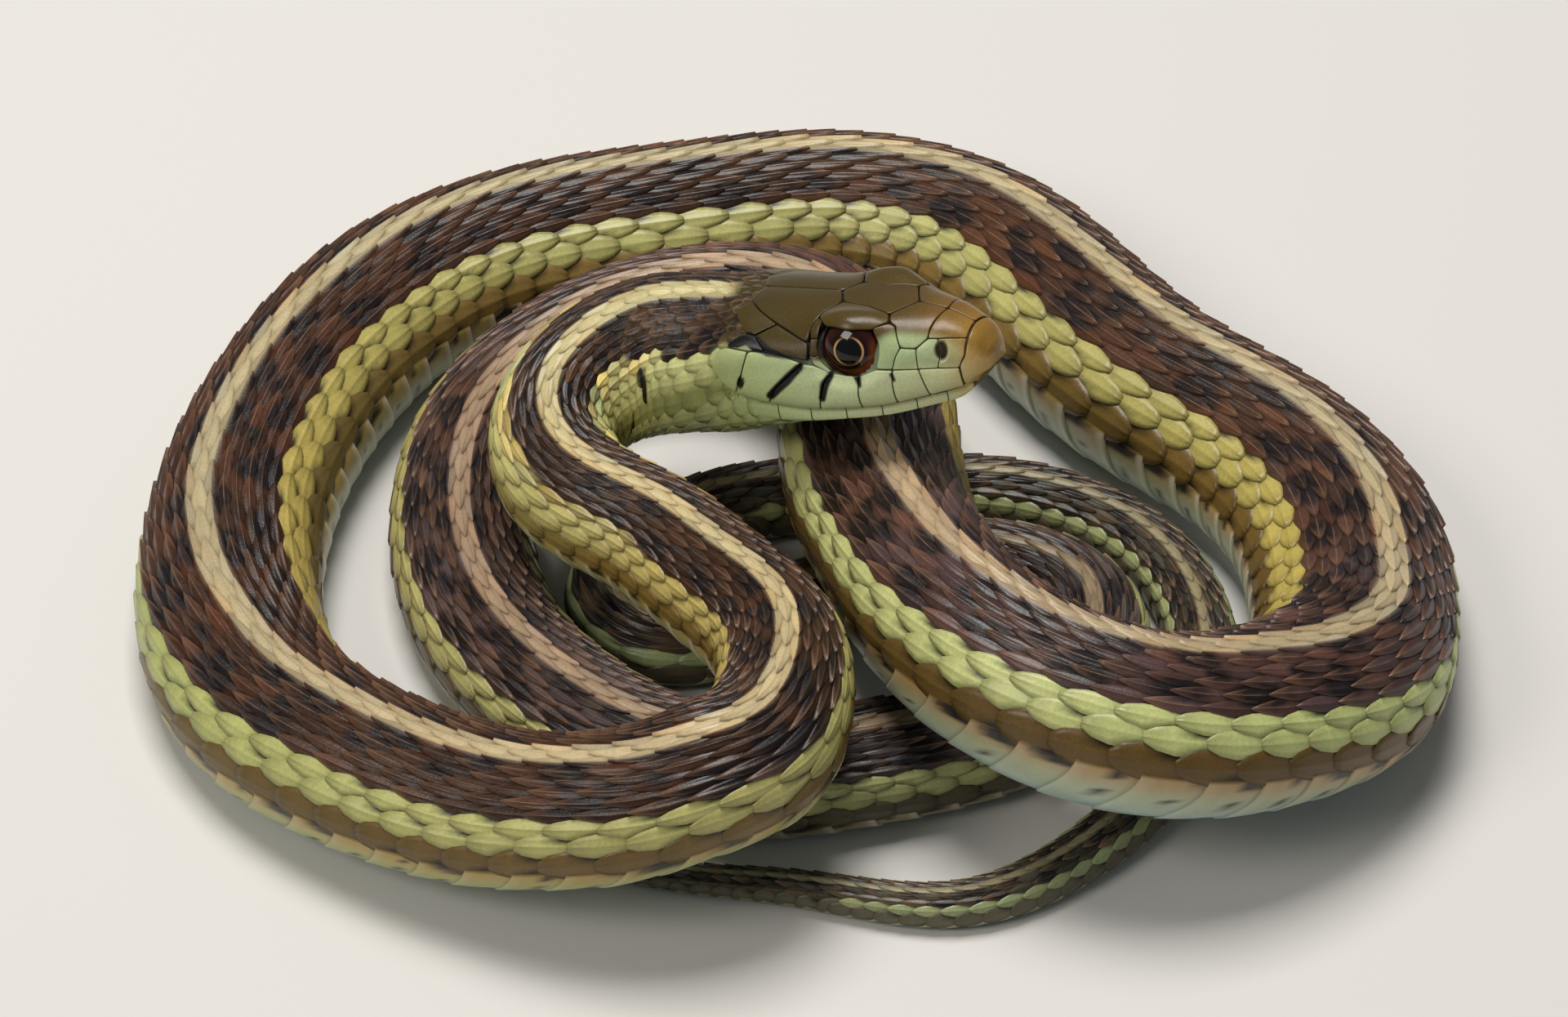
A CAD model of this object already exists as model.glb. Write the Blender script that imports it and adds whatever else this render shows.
"""Garter snake at rest in flat coils, its head held over its back: skin, scales, head plates and eyes."""

import logging
import math
from dataclasses import dataclass, field
from enum import Enum
from typing import Callable

import bpy
import numpy as np
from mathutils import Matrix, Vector


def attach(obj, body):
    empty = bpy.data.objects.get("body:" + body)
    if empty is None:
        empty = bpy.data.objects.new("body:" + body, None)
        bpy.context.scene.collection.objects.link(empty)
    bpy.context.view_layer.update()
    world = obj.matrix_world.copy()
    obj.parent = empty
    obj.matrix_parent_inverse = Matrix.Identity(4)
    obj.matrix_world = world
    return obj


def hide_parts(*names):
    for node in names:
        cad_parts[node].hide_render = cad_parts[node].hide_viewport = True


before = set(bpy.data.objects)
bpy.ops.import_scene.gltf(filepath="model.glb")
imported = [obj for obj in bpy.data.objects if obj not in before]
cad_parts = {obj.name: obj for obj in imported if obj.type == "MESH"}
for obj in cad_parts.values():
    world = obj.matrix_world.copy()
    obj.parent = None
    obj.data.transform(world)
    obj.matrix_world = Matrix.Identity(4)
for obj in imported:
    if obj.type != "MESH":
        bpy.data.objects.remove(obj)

Array = np.ndarray
Keys = tuple[tuple[float, ...], ...]
ColourKeys = tuple[tuple[float, str], ...]
Corners = tuple[tuple[float, float], ...]

log = logging.getLogger("garter_snake")

BODY = "root"
MM = 0.001

# Width of the patch of a scale on the bake map, and the share of the map that a piece fills.
PATCH = 0.003
MAP_SHARE = 0.98
MAP_EDGE = 0.01

# Shift of the body line to the frame of the solids, millimetres.
SHIFT = np.array([-0.7, -3.2, 0.0])

# Distance from the snout at which the body line starts, and the length of that line, millimetres.
NAPE = 21.6
BODY_LENGTH = 573.5

# Length of the head by itself, snout to neck, millimetres.
HEAD_LENGTH = 21.4

# The skin lies this far inside the solids; scales and plates fill the rest.
COAT_DEPTH = 0.25

# Distance from the snout and share of the girth of the middle of an eye.
EYE_PLACE = (8.5, 0.174)

# Stands, in the outline of a plate, for the share of the girth at which the upper lip ends.
LIP = 1.0

# Lines of spots on the body, and the most spots in a line.
SPOT_LINES = 12
SPOTS = 320


class Slot(Enum):
    """Material slots of the record."""

    HEAD = "head_skin"
    JAW = "jaw_skin"
    EYE = "eye"
    BODY = "body_skin"
    TAIL = "tail_skin"


def profile(keys: Keys) -> Callable[[Array], Array]:
    """Smooth curve through keys that never overshoots: cubic pieces with harmonic means as slopes.

    Args:
        keys: Pairs of place and value, in rising order of place.

    Returns:
        Function from an array of places to their values.
    """
    x, y = np.array(keys, float).T
    width, slope = np.diff(x), np.diff(y) / np.diff(x)
    product, total = slope[:-1] * slope[1:], slope[:-1] + slope[1:]
    inner = np.where(product > 0, 2 * product / np.where(total == 0, 1, total), 0)
    tangent = np.concatenate([slope[:1], inner, slope[-1:]])

    def at(place: Array) -> Array:
        """Value of the curve at each place.

        Args:
            place: Places, of which those beyond the keys count as the nearest key.

        Returns:
            Values.
        """
        place = np.clip(place, x[0], x[-1])
        i = np.clip(np.searchsorted(x, place, side="right") - 1, 0, len(width) - 1)
        t = (place - x[i]) / width[i]
        start = (1 + 2 * t) * (1 - t) ** 2 * y[i] + t * (1 - t) ** 2 * width[i] * tangent[i]
        return start + t * t * (3 - 2 * t) * y[i + 1] + t * t * (t - 1) * width[i] * tangent[i + 1]

    return at


def ramp(value: Array, low: float, high: float) -> Array:
    """Smooth step, which rises where low is below high and falls where it is above.

    Args:
        value: Where the step is asked for.
        low: Value at which it is 0.
        high: Value at which it is 1.

    Returns:
        Shares from 0 to 1.
    """
    share = np.clip((value - low) / (high - low), 0, 1)
    return share * share * (3 - 2 * share)


def mix(first: Array, second: Array, share: Array) -> Array:
    """Colour between two others.

    Args:
        first: Colours where the share is 0.
        second: Colours where the share is 1.
        share: Shares, with one axis less than the colours.

    Returns:
        Mixed colours.
    """
    share = np.asarray(share)[..., None]
    return first * (1 - share) + second * share


def paint(text: str) -> Array:
    """Linear colour from a display colour.

    Args:
        text: Display colour in six figures to the base sixteen.

    Returns:
        Linear red, green and blue.
    """
    shown = np.array([int(text[i:i + 2], 16) for i in (0, 2, 4)]) / 255
    return np.where(shown <= 0.04045, shown / 12.92, ((shown + 0.055) / 1.055) ** 2.4)


def shades(keys: ColourKeys, place: Array) -> Array:
    """Colour at each place, on straight lines between keys.

    Args:
        keys: Pairs of place and display colour, in rising order of place.
        place: Where the colour is asked for.

    Returns:
        Linear colours.
    """
    places = [at for at, _ in keys]
    colours = np.array([paint(text) for _, text in keys])
    return np.stack([np.interp(place, places, colours[:, i]) for i in range(3)], -1)


@dataclass
class SnakeForm:
    """Outer form of the whole animal, answered by distance from the snout and share of the girth.

    The share p runs from 0 on the ridge of the back to 0.5 under the belly, and is positive on the
    side that lies left of the way from nape to tail, which on the head is the side by the camera.
    """

    coils: tuple[tuple[float, float], ...] = (
        (-4.3, 5.2), (-9, 6.2), (-13.3, 4.9), (-15.7, 1), (-14.2, -3.9), (-9, -8), (-4, -13.5),
        (-0.5, -19), (0, -24.5), (-2, -30), (-8, -32.5), (-17, -30.5), (-26, -25.5), (-34, -18),
        (-37.5, -9.5), (-38, -2), (-37, 7), (-33.5, 18), (-28, 27), (-19, 33), (-6.5, 36), (5, 37),
        (14, 33), (20, 25), (26.5, 15.5), (34.5, 7), (38.5, -2.5), (38.5, -10), (37, -17.5),
        (30.5, -24.5), (23, -27), (15, -23.5), (10.5, -17.5), (7.5, -8), (6, 2), (5.5, 11.5), (2.5, 19),
        (-4.5, 22.5), (-13, 21), (-20, 14.5), (-22.5, 4), (-20.5, -8), (-14.5, -17), (-5, -23), (6, -22),
        (16, -18), (20.5, -12), (20, -5), (14, -1.5), (5.5, -3.5), (-3, -8), (-8.5, -9.5), (-12, -5.5),
        (-10, 0), (-5, 4.5), (3.5, 6.5), (15.5, 6.5), (24.5, 1.5), (28, -5.5), (28, -14.5), (24.5, -23),
        (19, -29.5), (11.5, -33.5), (1, -32), (-8, -30.5), (-15, -28),
    )
    radius: Keys = (
        (0, 5.6), (4, 5.6), (8, 5.25), (12, 4.7), (16, 4.25), (29, 4.2), (48, 4.6), (70, 5.1), (90, 5.4),
        (117, 5.7), (150, 6.05), (200, 6.25), (228, 6.15), (250, 5.95), (275, 5.7), (298, 5.4),
        (316, 5.05), (332, 4.7), (353, 4.4), (388, 4.15), (405, 3.8), (431, 3.15), (450, 2.95),
        (483, 2.7), (505, 2.5), (522, 2.2), (540, 1.75), (559, 1.25), (568, 1), (576, 0.4),
    )
    lift: Keys = (
        (0, 11), (4, 10.2), (8, 9.5), (12, 8.8), (16, 8.2), (22, 7.6), (29, 7.1), (36, 6.8), (43, 6.9),
        (49, 7.2), (54, 7.2), (61, 5.1), (70, 2.4), (80, 1), (92, 0), (228, 0), (236, 1.2), (243, 2.7),
        (253, 5.1), (261, 6.7), (268, 7.1), (278, 6.7), (288, 5.4), (298, 5.1), (307, 4.4), (316, 2.8),
        (324, 1.7), (333, 0.7), (341, 0),
    )
    spread: Keys = (
        (0, 0.05), (12, 0.05), (20, 0.1), (29, 0.09), (38, 0.02), (46, 0.02), (52, 0.08), (61, 0.14),
        (75, 0.17), (120, 0.16), (140, 0.19), (225, 0.19), (236, 0.15), (250, 0.1), (264, 0.07),
        (275, 0.02), (284, 0.04), (290, 0.13), (298, 0.18), (308, 0.14), (318, 0.09), (328, 0.09),
        (342, 0.17), (400, 0.17), (416, 0.18), (440, 0.2), (452, 0.14), (461, 0.1), (475, 0.15),
        (484, 0.2), (495, 0.13), (576, 0.1),
    )
    twist: Keys = (
        (0, 0), (4, 1), (8, 1), (14, -4), (22, 0), (54, 2), (62, -3), (72, -7), (82, -10), (92, -4),
        (101, 11), (110, 22), (122, 21), (135, 14), (170, 14), (184, 16), (196, 18), (216, 16), (226, 17),
        (236, 18), (243, 6), (252, -10), (262, -20), (270, -15), (279, -4), (288, 0), (576, 0),
    )
    crown: float = 1.12
    keel: float = 0.88
    belly_cut: float = 0.92
    belly_power: float = 2.6
    lip_half_width: Keys = (
        (0, 1.3), (0.25, 1.75), (0.7, 2.15), (1.4, 2.55), (2.4, 3.05), (3.4, 3.5), (5, 4.15), (7, 4.9),
        (9, 5.4), (11.2, 5.75), (13, 5.9), (15, 6), (17, 6.1), (19.3, 6.05), (21.4, 5.75),
    )
    head_top: Keys = (
        (0, -3.15), (0.25, -2.6), (0.7, -2.15), (1.5, -1.65), (3.2, -0.95), (5.4, -0.55), (8, -0.3),
        (11, 0), (16, 0.05), (18, 0), (21.4, -0.3),
    )
    mouth: Keys = (
        (0, -5), (0.9, -5.35), (1.7, -5.85), (3.4, -6.05), (7, -6.45), (11.2, -6.5), (15.3, -6.1),
        (18, -5.55), (20.3, -5.05), (21.4, -4.8),
    )
    chin: Keys = (
        (0.7, -6.1), (1.4, -6.5), (2.4, -6.85), (5, -7.4), (10, -7.95), (13, -8.5), (16, -9.3),
        (19, -10.2), (21.4, -10.6),
    )
    crown_point: tuple[float, float, float] = (-0.4, 3.75, 22.4)
    crown_from_snout: float = 15.85
    head_yaw: float = 27.0
    head_pitch: float = 16.5
    head_roll: float = 6.7
    neck_turn: float = 19.5
    neck_tilt: float = 14.5
    neck_axis: float = -5.2
    lip_gap: float = 0.3
    lip_rise: float = 1.2
    rise_at_snout: float = 0.4
    rise_run: float = 3.0
    lip_tuck: float = 2.4
    head_power: float = 2.6
    jaw_share: float = 0.9
    jaw_drop: float = 0.5
    jaw_power: float = 2.4
    jaw_cut: float = 0.25
    jaw_start: float = 0.45
    jaw_opening: float = 0.6
    snout_cap: float = 0.45
    snout_reach: float = 0.25
    neck_from: float = 11.0
    neck_blend: tuple[float, float] = (-3.0, 2.0)
    skull_points: int = 181
    jaw_points: int = 120
    section_points: int = 721
    line_points: int = 4001
    cap_rings: int = 9
    ring_steps: Keys = ((0, 0.15), (3, 0.25), (20, 0.5))
    around: int = 256
    g: Array = field(init=False)
    points: Array = field(init=False)
    normals: Array = field(init=False)
    girths: Array = field(init=False)
    lips: Array = field(init=False)

    def __post_init__(self) -> None:
        """Works out the table of places and outward normals, on rings from the snout to the tail's tip."""
        cap = -self.snout_cap * np.cos(np.linspace(0, math.pi / 2, self.cap_rings + 1))[:-1]
        tip = NAPE + BODY_LENGTH
        ends = [start for start, _ in self.ring_steps[1:]] + [tip]
        runs = [np.arange(start, end, step) for (start, step), end in zip(self.ring_steps, ends)]
        self.g = np.concatenate([cap, *runs, [tip]])
        neck = ramp(self.g - NAPE, *self.neck_blend)[:, None, None]
        self.points = (1 - neck) * self._head_rings() + neck * self._body_rings()
        self.girths = np.linalg.norm(np.diff(self.points, axis=1), axis=2).sum(1)
        along = np.gradient(self.points, axis=0)
        closed = np.concatenate([self.points[:, -2:-1], self.points, self.points[:, 1:2]], 1)
        outward = np.cross(along, closed[:, 2:] - closed[:, :-2])
        outward /= np.maximum(np.linalg.norm(outward, axis=2, keepdims=True), 1e-12)
        middle = self.points[:, :-1].mean(1)[:, None]
        self.normals = outward * np.sign(((self.points - middle) * outward).sum())
        self.normals[0] = self._head_axes()[0]

    def _line(self, lengths: Array) -> tuple[Array, Array]:
        """Body line seen from above: a natural cubic through the coils' points on their chord lengths.

        Args:
            lengths: True lengths from the nape; below 0 the line goes on straight.

        Returns:
            Places and unit directions along the line.
        """
        points = np.array(self.coils, float)
        step = np.linalg.norm(np.diff(points, axis=0), axis=1)
        knot = np.concatenate([[0], np.cumsum(step)])
        count = len(points)
        system, right = np.eye(count), np.zeros((count, 2))
        for i in range(1, count - 1):
            system[i, i - 1:i + 2] = step[i - 1], 2 * (step[i - 1] + step[i]), step[i]
            rise = (points[i + 1] - points[i]) / step[i] - (points[i] - points[i - 1]) / step[i - 1]
            right[i] = 6 * rise
        bend = np.linalg.solve(system, right)
        at = np.linspace(0, knot[-1], self.line_points)
        i = np.clip(np.searchsorted(knot, at, side="right") - 1, 0, count - 2)
        a, b = ((knot[i + 1] - at) / step[i])[:, None], ((at - knot[i]) / step[i])[:, None]
        bow = ((a ** 3 - a) * bend[i] + (b ** 3 - b) * bend[i + 1]) * (step[i] ** 2 / 6)[:, None]
        line = a * points[i] + b * points[i + 1] + bow
        run = np.concatenate([[0], np.cumsum(np.linalg.norm(np.diff(line, axis=0), axis=1))])
        front = (line[1] - line[0]) / np.linalg.norm(line[1] - line[0])

        def place(length: Array) -> Array:
            """Places on the line at true lengths."""
            on_line = np.stack([np.interp(length, run, line[:, j]) for j in (0, 1)], -1)
            return on_line + np.minimum(length, 0)[:, None] * front

        ahead = place(lengths + 0.2) - place(lengths - 0.2)
        return place(lengths), ahead / np.linalg.norm(ahead, axis=1)[:, None]

    def _share_out(self, contour: Array) -> Array:
        """Puts the points of closed contours at equal shares of their length.

        Args:
            contour: Contours, one to a ring, each with its ridge in the middle of its points.

        Returns:
            Contours of around + 1 points, from under the belly over the ridge and back.
        """
        steps = np.linalg.norm(np.diff(contour, axis=1), axis=2)
        run = np.concatenate([np.zeros((len(contour), 1)), np.cumsum(steps, 1)], 1)
        shares = np.linspace(-0.5, 0.5, self.around + 1)
        out = np.empty((len(contour), self.around + 1, 2))
        for ring, line, length in zip(out, contour, run):
            wanted = (length[len(line) // 2] + shares * length[-1]) % (length[-1] * (1 + 1e-12))
            ring[:, 0] = np.interp(wanted, length, line[:, 0])
            ring[:, 1] = np.interp(wanted, length, line[:, 1])
        return out

    def _body_rings(self) -> Array:
        """Rings square to the body line.

        The upper half of a section is half an oval. The lower half is a squarer one, in which the sine
        and cosine of the turn are raised to two over the power, and it is cut flat below.

        Returns:
            Places, ring by ring.
        """
        s = self.g - NAPE
        place, along = self._line(s)
        radius, spread = profile(self.radius)(s), profile(self.spread)(s)
        wide, high = (radius * (1 + spread))[:, None], (radius * (1 - spread))[:, None]
        level = profile(self.lift)(s) + self.belly_cut * self.keel * high[:, 0]
        twist = np.radians(profile(self.twist)(s))[:, None]
        turn = np.linspace(-math.pi, math.pi, self.section_points) + twist
        rise, across = np.cos(turn), np.sin(turn)
        squarer = 2 / self.belly_power
        x = wide * np.where(rise >= 0, across, np.sign(across) * np.abs(across) ** squarer)
        z = np.where(rise >= 0, self.crown * rise, -self.keel * np.abs(rise) ** squarer) * high
        section = self._share_out(np.stack([x, np.maximum(z, -self.belly_cut * self.keel * high)], -1))
        x, z = section[..., 0], section[..., 1]
        plan = place[:, None, :] + np.stack([-along[:, 1:] * x, along[:, :1] * x], -1)
        return np.concatenate([plan, (level[:, None] + z)[..., None]], -1) + SHIFT

    def _head_axes(self) -> tuple[Array, Array, Array]:
        """Directions of the head, which looks to the near side and upwards.

        Returns:
            Directions forward, to the right and up, each of length 1.
        """
        yaw, pitch, roll = (math.radians(v) for v in (self.head_yaw, self.head_pitch, self.head_roll))
        level = np.array([math.cos(yaw), -math.sin(yaw), 0])
        upright = np.array([0, 0, 1.0])
        forward = level * math.cos(pitch) + upright * math.sin(pitch)
        top = upright * math.cos(pitch) - level * math.sin(pitch)
        near = np.array([-math.sin(yaw), -math.cos(yaw), 0])
        right = near * math.cos(roll) + top * math.sin(roll)
        return forward, right, top * math.cos(roll) - near * math.sin(roll)

    def head_place(self, back: Array, aside: Array, up: Array) -> Array:
        """Places in the head.

        Args:
            back: Distances back from the snout.
            aside: Distances to the head's right.
            up: Heights over the crown.

        Returns:
            Places in millimetres.
        """
        forward, right, top = self._head_axes()
        ahead = (self.crown_from_snout - np.asarray(back))[..., None] * forward
        return np.array(self.crown_point) + SHIFT + ahead + aside[..., None] * right + up[..., None] * top

    def _skull(self, back: Array, lip: Array, top: Array, floor: Array) -> Array:
        """Right half of the sections above the mouth: a squarish oval that tucks in below the lip.

        Args:
            back: Distances back from the snout.
            lip: Half widths at the lip.
            top: Heights of the crown.
            floor: Heights at which the sections end.

        Returns:
            Pairs of aside and up, section by section, from the crown down.
        """
        level = floor + self.lip_rise * np.minimum(1, self.rise_at_snout + back / self.rise_run)
        cut = np.arccos(-((level - floor) / self.lip_tuck) ** (self.head_power / 2))
        turn = np.linspace(0, 1, self.skull_points) * cut[:, None]
        rise = np.cos(turn)
        tall = np.where(rise >= 0, (top - level)[:, None], -self.lip_tuck)
        aside = lip[:, None] * np.abs(np.sin(turn)) ** (2 / self.head_power)
        return np.stack([aside, level[:, None] + tall * np.abs(rise) ** (2 / self.head_power)], -1)

    def _jaw(self, back: Array, lip: Array, mouth: Array, chin: Array) -> Array:
        """Right half of the sections below the mouth: a narrower oval that deepens behind the snout.

        Args:
            back: Distances back from the snout.
            lip: Half widths at the lip.
            mouth: Heights of the mouth's line.
            chin: Heights of the chin.

        Returns:
            Pairs of aside and up, section by section, from the mouth down.
        """
        floor = (mouth + self.lip_gap / 2)[:, None]
        level = (mouth - self.lip_gap / 2 - self.jaw_drop)[:, None]
        turn = np.linspace(math.acos(self.jaw_cut ** (self.jaw_power / 2)), math.pi, self.jaw_points)
        rise = np.cos(turn)
        deep = np.where(rise >= 0, self.jaw_drop / self.jaw_cut, chin[:, None] - level)
        aside = self.jaw_share * lip[:, None] * np.abs(np.sin(turn)) ** (2 / self.jaw_power)
        up = level + deep * np.abs(rise) ** (2 / self.jaw_power)
        full = np.sqrt(np.clip((back - self.jaw_start) / self.jaw_opening, 0, 1))[:, None]
        return np.stack([aside, floor + full * (up - floor)], -1)

    def _head_rings(self) -> Array:
        """Rings of the closed head, rounded off at the snout and leaning back towards the neck.

        Returns:
            Places, ring by ring.
        """
        back = np.maximum(self.g, 0)
        outlines = (self.lip_half_width, self.head_top, self.mouth, self.chin)
        lip, top, mouth, chin = (profile(keys)(back) for keys in outlines)
        floor = mouth + self.lip_gap / 2
        skull = self._skull(back, lip, top, floor)
        half = np.concatenate([skull, self._jaw(back, lip, mouth, chin)], 1)
        run = np.cumsum(np.linalg.norm(np.diff(half, axis=1), axis=2), axis=1)
        self.lips = run[:, skull.shape[1] - 2] / run[:, -1] / 2
        section = self._share_out(np.concatenate([half[:, :0:-1] * (-1, 1), half], 1))
        middle = np.stack([0 * top, (top + floor) / 2], -1)[:, None]
        closing = np.clip(-self.g / self.snout_cap, 0, 1)
        section = middle + (section - middle) * np.sqrt(1 - closing ** 2)[:, None, None]
        share = np.clip((self.g - self.neck_from) / (HEAD_LENGTH - self.neck_from), 0, 1)[:, None] ** 2
        x, z = section[..., 0], section[..., 1]
        turn, tilt = math.tan(math.radians(self.neck_turn)), math.tan(math.radians(self.neck_tilt))
        turned = share * (x * turn + (z - self.neck_axis) * tilt)
        ahead = np.where(self.g < 0, self.g / self.snout_cap * self.snout_reach, self.g)[:, None]
        return self.head_place(ahead - turned, x, z)

    def at(self, g: Array, p: Array, height: Array | float = 0.0) -> Array:
        """Places over the skin, between the four nearest entries of the table.

        Args:
            g: Distances from the snout.
            p: Shares of the girth.
            height: Heights over the skin, which lies inside the form by the coat's depth.

        Returns:
            Places in millimetres.
        """
        g, p = np.broadcast_arrays(np.asarray(g, float), (np.asarray(p, float) + 0.5) % 1.0)
        i = np.clip(np.searchsorted(self.g, g, side="right") - 1, 0, len(self.g) - 2)
        a = np.clip((g - self.g[i]) / (self.g[i + 1] - self.g[i]), 0, 1)[..., None]
        j = np.clip((p * self.around).astype(int), 0, self.around - 1)
        b = (p * self.around - j)[..., None]

        def between(table: Array) -> Array:
            """Value of a table between its four nearest entries."""
            before = (1 - b) * table[i, j] + b * table[i, j + 1]
            return (1 - a) * before + a * ((1 - b) * table[i + 1, j] + b * table[i + 1, j + 1])

        normal = between(self.normals)
        normal /= np.maximum(np.linalg.norm(normal, axis=-1, keepdims=True), 1e-12)
        return between(self.points) + normal * (np.asarray(height) - COAT_DEPTH)[..., None]

    def girth(self, g: Array) -> Array:
        """Girth at distances from the snout."""
        return np.interp(g, self.g, self.girths)

    def lip(self, g: Array) -> Array:
        """Share of the girth at which the upper lip ends."""
        return np.interp(g, self.g, self.lips)


@dataclass
class ScaleRows:
    """Lattice of the body scales: rows along the body, each half a step from the next.

    Rows are counted from 0 on the ridge to 9 beside the belly. Their centres and pitches are shares of
    the girth, and each zone states where it ends and how many rows lie on either side of the ridge.
    """

    spacing: Keys = (
        (14, 1.4), (22, 1.55), (30, 1.75), (40, 2.0), (54, 2.4), (84, 2.85), (122, 3.1), (205, 3.5),
        (243, 3.4), (258, 2.7), (290, 2.65), (304, 3.1), (322, 3.2), (372, 2.95), (452, 2.5), (522, 2.1),
        (582, 1.4), (595, 1.0),
    )
    centres: tuple[float, ...] = (
        0, 0.025, 0.0494, 0.0738, 0.0982, 0.1226, 0.147, 0.1752, 0.2105, 0.2553,
    )
    pitches: tuple[float, ...] = (
        0.0256, 0.0244, 0.0244, 0.0244, 0.0244, 0.0244, 0.026, 0.032, 0.0385, 0.051,
    )
    zones: tuple[tuple[float, int], ...] = ((442, 9), (469, 7), (495, 6), (547, 5), (576, 4), (594.6, 3))
    belly_row: float = 14.0
    start: float = 8.0
    step: float = 0.25
    places: Array = field(init=False)
    counts: Array = field(init=False)

    def __post_init__(self) -> None:
        """Counts scales along the body: the sum of length over spacing."""
        self.places = np.arange(self.start, NAPE + BODY_LENGTH, self.step)
        spacing = profile(self.spacing)(self.places[:-1] + self.step / 2)
        self.counts = np.concatenate([[0], np.cumsum(self.step / spacing)])

    def place(self, count: Array) -> Array:
        """Distance from the snout of a count of scales."""
        before = (count - self.counts[0]) * profile(self.spacing)(self.places[:1])[0]
        return np.interp(count, self.counts, self.places) + np.minimum(before, 0)

    def count(self, g: Array) -> Array:
        """Count of scales at a distance from the snout."""
        return np.interp(g, self.places, self.counts)

    def row(self, p: Array) -> Array:
        """Row at a share of the girth, in parts of a row between two centres.

        Args:
            p: Shares of the girth.

        Returns:
            Rows, 0 along the back.
        """
        edge = self.centres[-1] + self.pitches[-1] / 2
        rows = tuple(range(len(self.centres)))
        return np.interp(np.abs(p), self.centres + (edge, 0.5), rows + (rows[-1] + 0.5, self.belly_row))


@dataclass(frozen=True)
class SpotLine:
    """Line of spots along the body, with its sizes in scales along it and in rows across."""

    number: int
    step: float
    phase: float
    row: float
    reach: tuple[float, float]
    odds: float


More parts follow.
